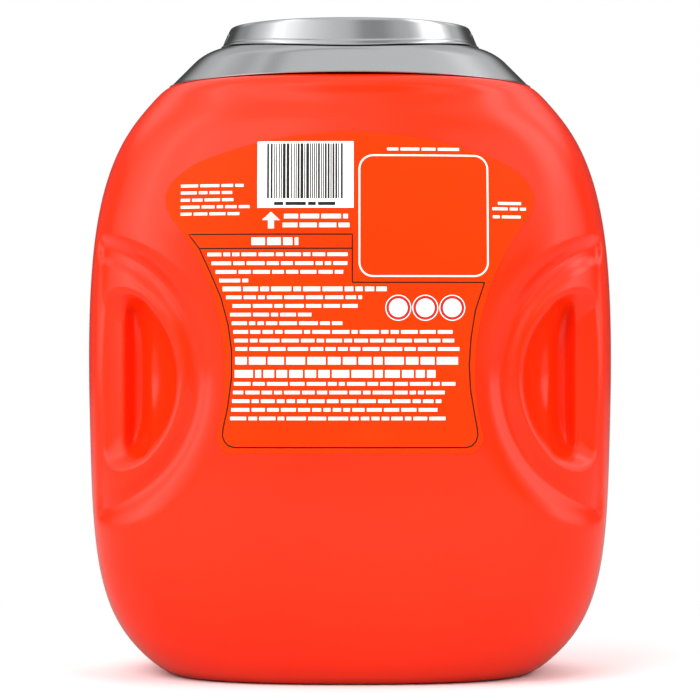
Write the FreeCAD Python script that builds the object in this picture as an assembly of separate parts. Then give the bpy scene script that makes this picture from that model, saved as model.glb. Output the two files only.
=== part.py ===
import FreeCAD, Part
import math
import os

# Laundry pod tub: a blow-moulded tub with two grips, a domed collar, a flip-up lid
# with two squeeze latches, and the printed panel on the tub's back.
# Millimetres, +Z up, origin at the middle of the base, the tub's back towards -Y.

# Tub size
tubHalfWidth = 104.8
tubHalfDepth = 79.5
deckHeight = 237.0
deckCrownRadius = 2300.0
wall = 1.6
baseWall = 2.2
footHalfWidth = 73.0
footHalfDepth = 56.5
shoulderHalfWidth = 73.0
shoulderHalfDepth = 64.6
sectionPoints = 32

# Level sections of the tub: height as a share of the deck's, then how far the half width and the
# half depth have grown from the foot or the shoulder to their full size, then squareness
lowerSections = [
    (0.0, 0.0, 0.0, 2.5),
    (0.0101, 0.126, 0.157, 2.55),
    (0.0253, 0.270, 0.339, 2.6),
    (0.0506, 0.456, 0.522, 2.7),
    (0.0886, 0.648, 0.700, 2.85),
    (0.1435, 0.808, 0.852, 3.0),
    (0.2321, 0.925, 0.957, 3.15),
    (0.3713, 0.978, 0.991, 3.3),
    (0.5401, 1.0, 1.0, 3.3),
]
upperSections = [
    (0.6751, 0.972, 0.973, 3.2),
    (0.7848, 0.874, 0.866, 3.0),
    (0.8650, 0.708, 0.691, 2.8),
    (0.9283, 0.462, 0.450, 2.6),
    (0.9684, 0.226, 0.208, 2.45),
    (0.9916, 0.050, 0.094, 2.35),
    (1.0063, -0.107, -0.228, 2.3),
]

# Base push-up
pushUpHalfWidth = 58.0
pushUpHalfDepth = 42.0
pushUpDepth = 3.0
pushUpDraft = 4.0

# Grips, one in each side of the back and of the front
gripBeyondSide = 4.2
gripHeightShare = 0.502
gripOuterRadius = 54.0
gripOuterDraft = 2.0
gripLedgeDepth = 3.2
gripInnerRadius = 46.0
gripInnerDraft = 11.0
gripSideInset = 8.3
gripDepth = 32.5
gripTroughInset = 12.5
gripFloorRadius = 6.0

# Neck finish and its snap bead
neckBore = 42.6
neckWall = 2.4
neckHeight = 6.9
neckBeadHeight = 2.0
neckBeadProud = 1.1
neckBeadBelowTop = 2.2

# Collar: a flank and a dome over the deck, a well for the lid's latches, a spout and a snap ring
collarOverhang = 0.3
collarDomeRise = 15.2
collarWall = 1.7
collarSeatGap = 0.35
flankBelowEdge = 3.0
wellWall = 1.5
wellStandOff = 2.15
plateThickness = 1.5
spoutWall = 1.4
spoutStep = 1.3
spoutRise = 5.45
snapGap = 0.15
snapWall = 1.5
snapBeadProud = 0.9
ledgeProud = 0.6
ledgeBelowDome = 1.6
ledgeHeight = 1.0
ledgeBesideLeg = 1.0

# Corners of the collar's outline: share of the way from the well to the outer edge, share of the rise
slopeTopShares = (0.564, 0.618)
domeMiddleShares = (0.363, 0.839)
domeTopShares = (-0.038, 1.0)

# Squeeze latches
tabWidth = 22.0
tabHeight = 4.6
tabAboveDome = 0.8
tabBelowTopWall = 0.9
tabProud = 0.7
tabGap = 0.3
tabFlange = 1.0
tabFlangeAbove = 0.4
tabFlangeWall = 1.0
tabShelfWall = 1.3
legStandOff = 1.4
legWall = 1.3
legWidth = 8.0
noseHeight = 1.4
noseGap = 0.3
noseBelowLedge = 0.2

# Lid
lidTopInset = 1.3
lidTaper = 0.417
lidWall = 1.5
lidTopWall = 1.8
lidEdgeBevel = 0.6
lidGap = 0.35
lipHeight = 1.3
lipProud = 0.55
plugGap = 0.5
plugWall = 1.3
plugDepth = 4.4
ribCount = 8
ribWall = 1.1
ribDepth = 3.0

# Printed panel: how far each corner lies in from the tub's side and below its deck
filmThickness = 0.3
filmGap = 0.15
panelTopDrop = 23.6
panelTopCornerInset = 47.2
panelTopCornerDrop = 34.4
panelBulgeInset = 33.8
panelBulgeDrop = 50.5
panelHipInset = 38.8
panelHipDrop = 59.6
panelWaistInset = 57.0
panelWaistDrop = 114.6
panelHemInset = 53.8
panelHemDrop = 140.0
panelBottomDrop = 146.5
panelCornerRadius = 6.5
cornerBow = 0.72

# Places that follow from the sizes above
gripCentreX = tubHalfWidth + gripBeyondSide
gripCentreZ = gripHeightShare * deckHeight
gripSideX = tubHalfWidth - gripSideInset
gripTroughX = gripSideX - gripTroughInset
gripFloorY = tubHalfDepth - gripDepth
neckTop = deckHeight + neckHeight
plateBottom = neckTop + snapGap
plateTop = plateBottom + plateThickness
spoutTop = plateTop + spoutRise
spoutOuter = neckBore + spoutStep
snapInner = neckBore + neckWall + neckBeadProud + snapGap
wellRadius = snapInner + snapWall + wellStandOff
wellInner = wellRadius - wellWall
collarHalfWidth = shoulderHalfWidth + collarOverhang
collarDepthRatio = (shoulderHalfDepth + 2.0 * collarOverhang) / collarHalfWidth
collarEdgeHeight = deckHeight + collarSeatGap - collarHalfWidth ** 2 / (2.0 * deckCrownRadius)
domeTopHeight = deckHeight + collarDomeRise
ledgeTop = domeTopHeight - ledgeBelowDome
ledgeBottom = ledgeTop - ledgeHeight
legBottom = ledgeBottom - noseBelowLedge - noseHeight
legOuter = wellInner - legStandOff
tabBottom = domeTopHeight + tabAboveDome
tabTop = tabBottom + tabHeight
lidUnderside = tabTop + tabBelowTopWall
lidTopHeight = lidUnderside + lidTopWall
lidTopRadius = wellRadius - lidTopInset
plugOuter = spoutOuter - spoutWall - plugGap
plugBottom = spoutTop - plugDepth

os.makedirs("parts", exist_ok=True)
up = FreeCAD.Vector(0, 0, 1)
centreLine = FreeCAD.Vector(0, 0, 0)


def point(x, y, z):
    return FreeCAD.Vector(x, y, z)


# Tub form

def tubStations():
    """Height, half width, half depth and squareness of the tub's level sections."""
    stations = []
    groups = [(footHalfWidth, footHalfDepth, lowerSections), (shoulderHalfWidth, shoulderHalfDepth, upperSections)]
    for startWidth, startDepth, sections in groups:
        for height, widthShare, depthShare, squareness in sections:
            halfWidth = startWidth + widthShare * (tubHalfWidth - startWidth)
            halfDepth = startDepth + depthShare * (tubHalfDepth - startDepth)
            stations.append((height * deckHeight, halfWidth, halfDepth, squareness))
    return stations


def levelSection(z, halfWidth, halfDepth, squareness):
    """One closed smooth curve: a superellipse, rounder or squarer by its exponent."""
    points = []
    for i in range(sectionPoints):
        angle = 2.0 * math.pi * i / sectionPoints
        c = math.cos(angle)
        s = math.sin(angle)
        reach = (abs(c / halfWidth) ** squareness + abs(s / halfDepth) ** squareness) ** (-1.0 / squareness)
        points.append(point(reach * c, reach * s, z))
    steps = [i / sectionPoints for i in range(sectionPoints + 1)]
    curve = Part.BSplineCurve()
    curve.interpolate(Points=points, PeriodicFlag=True, Parameters=steps)
    return Part.Wire([curve.toShape()])


def tubForm(inset, inner=False):
    """The tub's outside moved in by inset, closed flat at both ends.

    The inner wall runs straight from section to section, which is plainer and never thinner.
    """
    wires = []
    for z, halfWidth, halfDepth, squareness in tubStations():
        wires.append(levelSection(z, halfWidth - inset, halfDepth - inset, squareness))
    return Part.makeLoft(wires, True, inner)


def slab(bottom, top):
    """A wide level block between two heights."""
    side = 6.0 * tubHalfWidth
    return Part.makeBox(side, side, top - bottom, point(-side / 2.0, -side / 2.0, bottom))


def crownBelow(height):
    """All that lies below the tub's crowned deck, raised to the given height."""
    length = 4.0 * tubHalfDepth
    start = point(0, -length / 2.0, height - deckCrownRadius)
    return Part.makeCylinder(deckCrownRadius, length, start, point(0, 1, 0))


def mirrored(shape, normal):
    return shape.mirror(centreLine, normal)


def fourWays(shape):
    """The shape made for the left of the back, and its mirror images."""
    right = mirrored(shape, point(1, 0, 0))
    pair = [shape, right]
    return pair + [mirrored(one, point(0, 1, 0)) for one in pair]


def towardsFront(radiusAtFace, radiusAtDepth, faceY, depthY):
    """A tapered round plug about the grip's axis, narrowing into the tub."""
    start = point(-gripCentreX, faceY, gripCentreZ)
    return Part.makeCone(radiusAtFace, radiusAtDepth, depthY - faceY, start, point(0, 1, 0))


def besideTheSide(sideX):
    """All that lies further in than the upright side of the grip."""
    size = 2.0 * tubHalfWidth
    return Part.makeBox(size, size, 2.0 * size, point(-sideX, -size, -size / 2.0))


def gripLedge(grow):
    """The plug that makes the shallow outer ring of one grip, still without its floor."""
    faceY = -tubHalfDepth - gripOuterDraft
    depthY = -gripFloorY
    outer = gripOuterRadius + grow
    plug = towardsFront(outer + gripOuterDraft, outer - gripOuterDraft, faceY, depthY)
    return plug.common(besideTheSide(gripSideX + grow))


def gripHollow(grow):
    """The deep part of one grip: round at the rim, with an upright trough for a floor."""
    faceY = -tubHalfDepth - gripOuterDraft
    floorY = -gripFloorY + grow
    rim = gripInnerRadius + grow
    bowl = towardsFront(rim + gripOuterDraft, rim - gripInnerDraft, faceY, floorY)
    sideX = -gripSideX - grow
    trough = [
        point(sideX, faceY - gripOuterDraft, 0),
        point(sideX, floorY - gripFloorRadius, 0),
        point(-gripTroughX, floorY, 0),
        point(-gripTroughX + 2.0 * gripFloorRadius, floorY - gripFloorRadius, 0),
        point(sideX + 2.0 * gripInnerRadius, floorY - 4.0 * gripFloorRadius, 0),
        point(sideX + 2.0 * gripInnerRadius, faceY - gripOuterDraft, 0),
    ]
    floor = Part.BSplineCurve()
    floor.interpolate(Points=trough[1:5])
    edges = [
        Part.LineSegment(trough[0], trough[1]).toShape(),
        floor.toShape(),
        Part.LineSegment(trough[4], trough[5]).toShape(),
        Part.LineSegment(trough[5], trough[0]).toShape(),
    ]
    section = Part.Face(Part.Wire(edges))
    return bowl.common(section.extrude(point(0, 0, deckHeight)))


def withGrips(form, grow, inner=False):
    """The form with four grips: the outer rings keep the tub's curve, the hollows go deep."""
    core = tubForm(gripLedgeDepth + grow, inner)
    ledges = Part.makeCompound(fourWays(gripLedge(grow))).cut(core)
    return form.cut(ledges.Solids + fourWays(gripHollow(grow)))


def revolved(corners):
    """A solid turned about the tub's upright axis from (radius, height) corners."""
    points = [point(r, 0, z) for r, z in corners]
    outline = Part.makePolygon(points + [points[0]])
    return Part.Face(outline).revolve(centreLine, up, 360)


def neckFinish():
    """The neck with its snap bead."""
    inner = neckBore
    outer = neckBore + neckWall
    root = deckHeight - wall / 2.0
    beadTop = neckTop - neckBeadBelowTop
    beadMiddle = beadTop - neckBeadHeight / 2.0
    beadBottom = beadTop - neckBeadHeight
    corners = [(inner, root), (outer, root), (outer, beadBottom), (outer + neckBeadProud, beadMiddle),
               (outer, beadTop), (outer, neckTop), (inner, neckTop)]
    return revolved(corners)


def makeTub():
    outside = withGrips(tubForm(0.0), 0.0).common(crownBelow(deckHeight))
    inside = withGrips(tubForm(wall, True), wall, True).common(crownBelow(deckHeight - wall))
    inside = inside.common(slab(baseWall + pushUpDepth, neckTop))
    tub = outside.cut(inside)
    bore = Part.makeCylinder(neckBore, 3.0 * neckHeight, point(0, 0, deckHeight - neckHeight))
    tub = tub.cut(bore).fuse(neckFinish())
    low = levelSection(-pushUpDepth / 3.0, pushUpHalfWidth, pushUpHalfDepth, 2.4)
    high = levelSection(pushUpDepth, pushUpHalfWidth - pushUpDraft, pushUpHalfDepth - pushUpDraft, 2.4)
    return tub.cut(Part.makeLoft([low, high], True, True))


# Collar

def flankPoint(shares):
    """A corner of the collar's outline from its two shares."""
    across, rise = shares
    return point(wellRadius + across * (collarHalfWidth - wellRadius), 0, deckHeight + rise * collarDomeRise)


def collarCorners(drop):
    """The collar's outline from its lower edge to its crown, moved in by drop."""
    edge = point(collarHalfWidth, 0, collarEdgeHeight)
    slopeTop = flankPoint(slopeTopShares)
    middle = flankPoint(domeMiddleShares)
    top = flankPoint(domeTopShares)
    along = (edge - slopeTop).normalize()
    inward = point(-along.z, 0, along.x)
    if inward.z > 0.0:
        inward = -inward
    centre = Part.Arc(slopeTop, middle, top).toShape().Curve.Center
    toCentre = (centre - middle).normalize()
    low = edge + along * flankBelowEdge + inward * drop
    return low, slopeTop + inward * drop, middle + toCentre * drop, top - up * drop


def domeSolid(drop, lift=0.0):
    """The collar's dome as one filled solid, squashed a little from back to front."""
    low, slopeTop, middle, top = collarCorners(drop)
    axisTop = point(0, 0, top.z)
    axisLow = point(0, 0, low.z)
    edges = [
        Part.LineSegment(low, slopeTop).toShape(),
        Part.Arc(slopeTop, middle, top).toShape(),
        Part.LineSegment(top, axisTop).toShape(),
        Part.LineSegment(axisTop, axisLow).toShape(),
        Part.LineSegment(axisLow, low).toShape(),
    ]
    dome = Part.Face(Part.Wire(edges)).revolve(centreLine, up, 360)
    dome = Part.Solid(dome) if dome.ShapeType == "Shell" else dome
    squash = FreeCAD.Matrix()
    squash.scale(1.0, collarDepthRatio, 1.0)
    dome = dome.transformGeometry(squash)
    dome.translate(point(0, 0, lift))
    return dome


def ring(inner, outer, bottom, top):
    """A plain upright ring between two heights."""
    tube = Part.makeCylinder(outer, top - bottom, point(0, 0, bottom))
    return tube.cut(Part.makeCylinder(inner, top - bottom, point(0, 0, bottom)))


def snapRing():
    """The ring that snaps over the neck, its bead under the neck's bead."""
    outer = snapInner + snapWall
    top = plateBottom + plateThickness / 2.0
    beadHigh = neckTop - neckBeadBelowTop - neckBeadHeight - snapGap
    bottom = deckHeight + collarSeatGap
    beadMiddle = (beadHigh + bottom) / 2.0
    corners = [(snapInner, top), (outer, top), (outer, bottom), (snapInner, bottom),
               (snapInner - snapBeadProud, beadMiddle), (snapInner, beadHigh)]
    return revolved(corners)


def makeCollar():
    skin = domeSolid(0.0).cut(domeSolid(collarWall))
    skin = skin.cut(crownBelow(deckHeight + collarSeatGap))
    skin = skin.cut(Part.makeCylinder(wellRadius - wellWall / 2.0, domeTopHeight, centreLine))
    well = ring(wellInner, wellRadius, plateBottom, domeTopHeight).common(domeSolid(0.0))
    plate = ring(spoutOuter - spoutWall, wellRadius, plateBottom, plateTop)
    spout = ring(spoutOuter - spoutWall, spoutOuter, plateBottom, spoutTop)
    collar = skin.fuse([well, plate, spout, snapRing()])
    ledge = ring(wellInner - ledgeProud, wellInner + wellWall / 2.0, ledgeBottom, ledgeTop)
    halfWidth = legWidth / 2.0 + ledgeBesideLeg
    reach = Part.makeBox(4.0 * wellRadius, 2.0 * halfWidth, domeTopHeight,
                         point(-2.0 * wellRadius, -halfWidth, 0))
    return collar.fuse(ledge.common(reach)).removeSplitter()


# Lid

def coneRadius(z, grow=0.0):
    return lidTopRadius + (lidTopHeight - z) * lidTaper + grow


def lidCone(bottom, top, grow):
    """The lid's tapered outside between two heights, moved out by grow."""
    return Part.makeCone(coneRadius(bottom, grow), coneRadius(top, grow), top - bottom,
                         point(0, 0, bottom))


def lidRibs():
    """The ribs between the plug and the lid's wall."""
    inner = plugOuter - plugWall / 2.0
    high = lidUnderside + lidTopWall / 2.0
    low = lidUnderside - ribDepth
    limit = lidCone(deckHeight, lidTopHeight, -lidWall / 2.0)
    ribs = []
    for i in range(ribCount):
        rib = Part.makeBox(wellRadius, ribWall, high - low, point(inner, -ribWall / 2.0, low))
        rib.rotate(centreLine, up, 360.0 * (i + 0.5) / ribCount)
        ribs.append(rib.common(limit))
    return ribs


def makeLid():
    outside = lidCone(deckHeight, lidTopHeight, 0.0)
    rim = [e for e in outside.Edges if abs(e.BoundBox.ZMin - lidTopHeight) < 0.01
           and e.Curve.TypeId == "Part::GeomCircle"]
    outside = outside.makeChamfer(lidEdgeBevel, rim)
    lip = lidCone(deckHeight, lidTopHeight, lipProud).common(domeSolid(0.0, lidGap + lipHeight))
    inside = lidCone(deckHeight, lidUnderside, -lidWall)
    shell = outside.fuse(lip).cut(inside).cut(domeSolid(0.0, lidGap))
    plug = ring(plugOuter - plugWall, plugOuter, plugBottom, lidUnderside + lidTopWall / 2.0)
    lid = shell.fuse([plug] + lidRibs())
    for side in (1, -1):
        lid = lid.cut(tabWindow(side))
    return lid.removeSplitter()


# Squeeze latches

def sideBlock(side, width, bottom, top):
    """A block over one side of the lid, from the middle outwards."""
    block = Part.makeBox(2.0 * wellRadius, width, top - bottom, point(0, -width / 2.0, bottom))
    if side < 0:
        block = mirrored(block, point(1, 0, 0))
    return block


def tabWindow(side):
    """The window in the lid's wall: it stops short of the ribs and the plug."""
    block = sideBlock(side, tabWidth + 2.0 * tabGap, tabBottom - tabGap, tabTop + tabGap)
    return block.cut(lidCone(deckHeight, lidTopHeight, -lidWall - tabGap))


def makeLatch(side):
    low = deckHeight
    high = lidTopHeight
    flangeOuter = -lidWall - tabGap
    flangeInner = flangeOuter - tabFlangeWall
    face = lidCone(low, high, tabProud).cut(lidCone(low, high, flangeInner))
    button = face.common(sideBlock(side, tabWidth, tabBottom, tabTop))
    flange = lidCone(low, high, flangeOuter).cut(lidCone(low, high, flangeInner))
    flange = flange.common(sideBlock(side, tabWidth + 2.0 * tabFlange, tabBottom, tabTop + tabFlangeAbove))
    legInner = legOuter - legWall
    shelfTop = tabBottom + tabShelfWall
    shelf = ring(legInner, coneRadius(tabBottom, (flangeOuter + flangeInner) / 2.0), tabBottom, shelfTop)
    leg = ring(legInner, legOuter, legBottom, shelfTop)
    nose = ring(legInner, wellInner - ledgeProud - noseGap, legBottom, legBottom + noseHeight)
    leg = leg.fuse([nose, shelf]).common(sideBlock(side, legWidth, legBottom, shelfTop))
    return button.fuse([flange, leg]).removeSplitter()


# Printed panel

def panelOutline():
    """The panel's outline seen from the back, in the plane through the tub's middle."""
    def at(side, inset, drop):
        return point(side * (tubHalfWidth - inset), 0, deckHeight - drop)
    top = point(0, 0, deckHeight - panelTopDrop)
    edges = [Part.Arc(at(-1, panelTopCornerInset, panelTopCornerDrop), top,
                      at(1, panelTopCornerInset, panelTopCornerDrop)).toShape()]
    hemEnd = panelHemInset + panelCornerRadius
    cornerIn = panelHemInset + panelCornerRadius * (1.0 - cornerBow)
    cornerDrop = panelBottomDrop - panelCornerRadius * (1.0 - cornerBow)
    for side in (1, -1):
        bulge = Part.BSplineCurve()
        bulge.interpolate(Points=[at(side, panelTopCornerInset, panelTopCornerDrop),
                                  at(side, panelBulgeInset, panelBulgeDrop),
                                  at(side, panelHipInset, panelHipDrop)])
        edges.append(bulge.toShape())
        hem = at(side, panelHemInset, panelHemDrop)
        edges.append(Part.Arc(at(side, panelHipInset, panelHipDrop), at(side, panelWaistInset, panelWaistDrop),
                              hem).toShape())
        edges.append(Part.Arc(hem, at(side, cornerIn, cornerDrop), at(side, hemEnd, panelBottomDrop)).toShape())
    edges.append(Part.LineSegment(at(-1, hemEnd, panelBottomDrop), at(1, hemEnd, panelBottomDrop)).toShape())
    return Part.Wire(Part.__sortEdges__(edges))


def makePanel():
    prism = Part.Face(panelOutline()).extrude(point(0, -2.0 * tubHalfDepth, 0))
    film = tubForm(-filmThickness - filmGap).cut(tubForm(-filmGap))
    return film.common(prism)


def describe(name, shape):
    box = shape.BoundBox
    print(name, "valid", shape.isValid(), "solids", len(shape.Solids), "faces", len(shape.Faces),
          "volume", round(shape.Volume), "box", [round(v, 2) for v in
          (box.XMin, box.YMin, box.ZMin, box.XMax, box.YMax, box.ZMax)])


def save(name, shape):
    describe(name, shape)
    shape.exportStep("parts/" + name + ".step")


save("collar", makeCollar())
save("lid", makeLid())
save("latch_right", makeLatch(1))
save("latch_left", makeLatch(-1))
save("back_panel", makePanel())
save("tub", makeTub())
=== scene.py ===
import math
import random

import bpy
import numpy as np
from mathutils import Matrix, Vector


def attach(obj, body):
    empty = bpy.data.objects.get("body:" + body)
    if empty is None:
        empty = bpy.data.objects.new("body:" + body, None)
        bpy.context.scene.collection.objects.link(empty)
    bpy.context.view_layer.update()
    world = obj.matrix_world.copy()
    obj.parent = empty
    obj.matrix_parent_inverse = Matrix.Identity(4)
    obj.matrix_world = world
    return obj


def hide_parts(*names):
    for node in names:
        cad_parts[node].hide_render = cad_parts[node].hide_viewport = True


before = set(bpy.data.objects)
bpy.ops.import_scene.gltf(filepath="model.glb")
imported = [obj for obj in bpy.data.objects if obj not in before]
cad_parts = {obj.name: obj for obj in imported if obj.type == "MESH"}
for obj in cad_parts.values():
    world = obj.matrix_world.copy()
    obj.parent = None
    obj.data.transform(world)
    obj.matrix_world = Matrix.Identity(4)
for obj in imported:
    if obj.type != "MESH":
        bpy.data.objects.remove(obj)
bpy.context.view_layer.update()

print("frame loaded:", sorted(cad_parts))

mm = 0.001        # all sizes below are in millimetres, and the meshes are made in metres


# helpers for choosing, cutting and dressing pieces

def deselectAll():
    if bpy.context.object and bpy.context.object.mode != "OBJECT":
        bpy.ops.object.mode_set(mode="OBJECT")
    bpy.ops.object.select_all(action="DESELECT")


def pick(piece):
    deselectAll()
    piece.select_set(True)
    bpy.context.view_layer.objects.active = piece


def joined(pieces):
    deselectAll()
    for piece in pieces:
        piece.select_set(True)
    bpy.context.view_layer.objects.active = pieces[0]
    if len(pieces) > 1:
        bpy.ops.object.join()
    return bpy.context.object


def applyModifier(piece, kind, **settings):
    pick(piece)
    modifier = piece.modifiers.new(kind.title(), kind)
    for key, value in settings.items():
        setattr(modifier, key, value)
    bpy.ops.object.modifier_apply(modifier=modifier.name)


def cutBy(piece, other, operation):
    applyModifier(piece, "BOOLEAN", operation=operation, object=other, solver="EXACT")
    bpy.data.objects.remove(other)


def smoothFaces(piece, degrees):
    # smooth, but crisp where faces meet at more than the given angle
    pick(piece)
    bpy.ops.object.shade_smooth_by_angle(angle=math.radians(degrees))


def dress(piece, material, slotName, body, *nodes):
    piece.data.materials.clear()
    piece.data.materials.append(material)
    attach(piece, body)
    if nodes:
        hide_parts(*nodes)


# helpers for curves and sheets

def smoothLine(knots, values):
    # a natural cubic through the knots: the same soft curve that the drawing's loft follows
    x = np.array(knots, float)
    y = np.array(values, float)
    h = np.diff(x)
    n = len(x)
    a = np.zeros((n, n))
    b = np.zeros(n)
    a[0, 0] = a[-1, -1] = 1.0
    for i in range(1, n - 1):
        a[i, i - 1], a[i, i], a[i, i + 1] = h[i - 1], 2 * (h[i - 1] + h[i]), h[i]
        b[i] = 6 * ((y[i + 1] - y[i]) / h[i] - (y[i] - y[i - 1]) / h[i - 1])
    m = np.linalg.solve(a, b)

    def at(t):
        t = np.asarray(t, float)
        i = np.clip(np.searchsorted(x, t) - 1, 0, n - 2)
        left, right = t - x[i], x[i + 1] - t
        bend = (m[i] * right ** 3 + m[i + 1] * left ** 3) / (6 * h[i])
        return (bend + (y[i] / h[i] - m[i] * h[i] / 6) * right
                + (y[i + 1] / h[i] - m[i + 1] * h[i] / 6) * left)
    return at


def softStep(t):
    t = np.clip(t, 0.0, 1.0)
    return t * t * (3 - 2 * t)


def softMin(a, b, k):
    # the lower of two surfaces, rounded over k where they meet
    t = np.clip(0.5 + 0.5 * (b - a) / k, 0.0, 1.0)
    return b + (a - b) * t - k * t * (1 - t)


def softMax(a, b, k):
    return -softMin(-a, -b, k)


def circleThrough(a, b, c):
    (ax, ay), (bx, by), (cx, cy) = a, b, c
    d = 2 * (ax * (by - cy) + bx * (cy - ay) + cx * (ay - by))
    aa, bb, cc = ax ** 2 + ay ** 2, bx ** 2 + by ** 2, cx ** 2 + cy ** 2
    ux = (aa * (by - cy) + bb * (cy - ay) + cc * (ay - by)) / d
    uy = (aa * (cx - bx) + bb * (ax - cx) + cc * (bx - ax)) / d
    return ux, uy, math.hypot(ax - ux, ay - uy)


def evenAngles(steps):
    return np.arange(steps) * 2 * math.pi / steps


def circleRing(radius, z, steps):
    a = evenAngles(steps)
    return np.stack([radius * np.cos(a), radius * np.sin(a), np.broadcast_to(z, a.shape)], 1)


def bentGrid(name, places, wrapped):
    # a flat grid moved to rows of places, its two sides brought together where it is wrapped
    count, steps = places.shape[:2]
    cells = steps if wrapped else steps - 1
    deselectAll()
    bpy.ops.mesh.primitive_grid_add(x_subdivisions=cells, y_subdivisions=count - 1, size=1)
    sheet = bpy.context.object
    sheet.name = sheet.data.name = name
    flat = np.zeros(len(sheet.data.vertices) * 3)
    sheet.data.vertices.foreach_get("co", flat)
    flat = flat.reshape(-1, 3)
    across = np.rint((flat[:, 0] + 0.5) * cells).astype(int) % steps
    along = np.rint((flat[:, 1] + 0.5) * (count - 1)).astype(int)
    sheet.data.vertices.foreach_set("co", places[along, across].ravel())
    sheet.data.update()
    return sheet


def rolledSheet(name, rings):
    # a closed shell through rings of points, its seam and its two ends merged
    sheet = bentGrid(name, np.array(rings, float) * mm, True)
    bpy.ops.object.mode_set(mode="EDIT")
    bpy.ops.mesh.select_all(action="SELECT")
    bpy.ops.mesh.remove_doubles(threshold=0.00002)
    bpy.ops.mesh.normals_make_consistent(inside=False)
    bpy.ops.object.mode_set(mode="OBJECT")
    bpy.ops.object.shade_smooth()
    return sheet


# the tub

tub = {
    # level sections: height, half width, half depth, squareness
    "sections": [
        (0.0, 73.0, 56.5, 2.5), (2.4, 77.0, 60.1, 2.55), (6.0, 81.6, 64.3, 2.6),
        (12.0, 87.5, 68.5, 2.7), (21.0, 93.6, 72.6, 2.85), (34.0, 98.7, 76.1, 3.0),
        (55.0, 102.4, 78.5, 3.15), (88.0, 104.1, 79.3, 3.3), (128.0, 104.8, 79.5, 3.3),
        (160.0, 103.9, 79.1, 3.2), (186.0, 100.8, 77.5, 3.0), (205.0, 95.5, 74.9, 2.8),
        (220.0, 87.7, 71.3, 2.6), (229.5, 80.2, 67.7, 2.45), (235.0, 74.6, 66.0, 2.35),
        (238.5, 69.6, 61.2, 2.3),
    ],
    "deck": 237.0, "deckCrown": 2300.0, "deckRound": 1.6, "shoulder": 238.5, "wall": 1.6,
    # rings of the pushed-up base and the foot, and of the floor inside: half width, half depth,
    # squareness, height
    "underside": [
        (0.0, 0.0, 2.4, 3.0), (16.2, 11.4, 2.4, 3.0), (32.4, 22.8, 2.4, 3.0), (48.6, 34.2, 2.4, 3.0),
        (54.0, 38.0, 2.4, 3.0), (54.7, 38.7, 2.4, 2.7), (57.4, 41.4, 2.4, 0.4), (58.4, 42.4, 2.4, 0.0),
        (66.0, 50.0, 2.45, 0.0), (71.6, 55.1, 2.5, 0.0), (72.8, 56.3, 2.5, 0.25),
    ],
    "insideFloor": [
        (77.6, 60.14, 2.5, 5.8), (72.0, 55.8, 2.5, 5.2), (48.0, 37.2, 2.5, 5.2), (24.0, 18.6, 2.5, 5.2),
        (0.0, 0.0, 2.5, 5.2),
    ],
    # the neck with its bead and rim: radius, height
    "neckOuter": 45.0,
    "neck": [
        (45.0, 237.4), (45.0, 239.6), (45.5, 240.1), (46.1, 240.7), (45.5, 241.3), (45.0, 241.8),
        (45.0, 243.4), (44.7, 243.8), (44.2, 243.9), (43.3, 243.9), (42.8, 243.7), (42.6, 243.2),
        (42.6, 235.6), (42.8, 235.3),
    ],
    # heights of the rings outside and inside, as start, stop and step, closer over the grips
    "levels": [(0.8, 49.0, 1.9), (50.0, 189.0, 1.25), (190.0, 228.0, 1.9), (228.5, 238.6, 0.7)],
    "insideLevels": [(236.0, 180.0, -5.0), (178.0, 60.0, -3.6), (58.0, 5.0, -6.0)],
    "deckShares": (0.15, 0.5, 0.85), "ceilingShares": (0.7, 0.3),
    # steps in a quarter turn: past the grip at the side, over the grip, over the middle
    "columns": (16, 58, 21),
}

# the four grips, by distance from each one's upright axis beside the tub: a broad rounded ridge, a
# fine crease, a channel and a lip, then a dish with an upright slot
grip = {
    "centreX": 109.0, "centreZ": 119.0, "tall": 1.04, "reach": 66.0,
    "sideX": 100.6, "sideSoft": 4.0, "innerX": 50.0, "lowest": 62.0, "highest": 178.0,
    "radii": [38.0, 43.0, 45.0, 46.6, 48.6, 51.2, 53.2, 54.2, 56.4, 59.5, 63.0, 66.0],
    "depths": [2.6, 2.6, 2.75, 3.3, 4.3, 4.5, 3.3, 2.35, 1.15, 0.38, 0.05, 0.0],
    "topDepth": 2.4, "topFrom": 20.0, "topOver": 26.0,        # the ledge is deeper towards the top
    "topInner": 43.0, "topInnerSoft": 5.0, "topOuter": 56.5, "topOuterSoft": 6.0,
    "wallRadii": [26.0, 29.5, 33.0, 37.0, 40.5, 43.0, 44.5, 50.0],
    "wallY": [47.5, 49.3, 52.4, 57.8, 64.4, 70.4, 74.4, 92.0],
    "wallSteep": 6.0, "rimRadius": 46.0, "wallRise": 0.35, "softRim": 1.6,
    "floorY": 50.5, "sideFall": 0.6, "softFloor": 4.0,
    "slotInner": 77.0, "slotOuter": 88.6, "slotHalf": 32.5, "slotDepth": 5.5, "slotSoft": 4.6,
}

heights = [section[0] for section in tub["sections"]]
widthAt = smoothLine(heights, [section[1] for section in tub["sections"]])
depthAt = smoothLine(heights, [section[2] for section in tub["sections"]])
squareAt = smoothLine(heights, [section[3] for section in tub["sections"]])
ledgeAt = smoothLine(grip["radii"], grip["depths"])
wallAt = smoothLine(grip["wallRadii"], grip["wallY"])


def deckAt(x):
    return tub["deck"] - x ** 2 / (2 * tub["deckCrown"])


def faceAt(x, z):
    # how far the tub's back or front stands from its middle at x and z, before the grips
    n = squareAt(z)
    return depthAt(z) * np.clip(1 - np.abs(x / widthAt(z)) ** n, 0.0, 1.0) ** (1 / n)


def levelRing(angles, halfWidth, halfDepth, squareness):
    c, s = np.cos(angles), np.sin(angles)
    reach = (np.abs(c / halfWidth) ** squareness + np.abs(s / halfDepth) ** squareness) ** (-1 / squareness)
    return reach * c, reach * s


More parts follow.
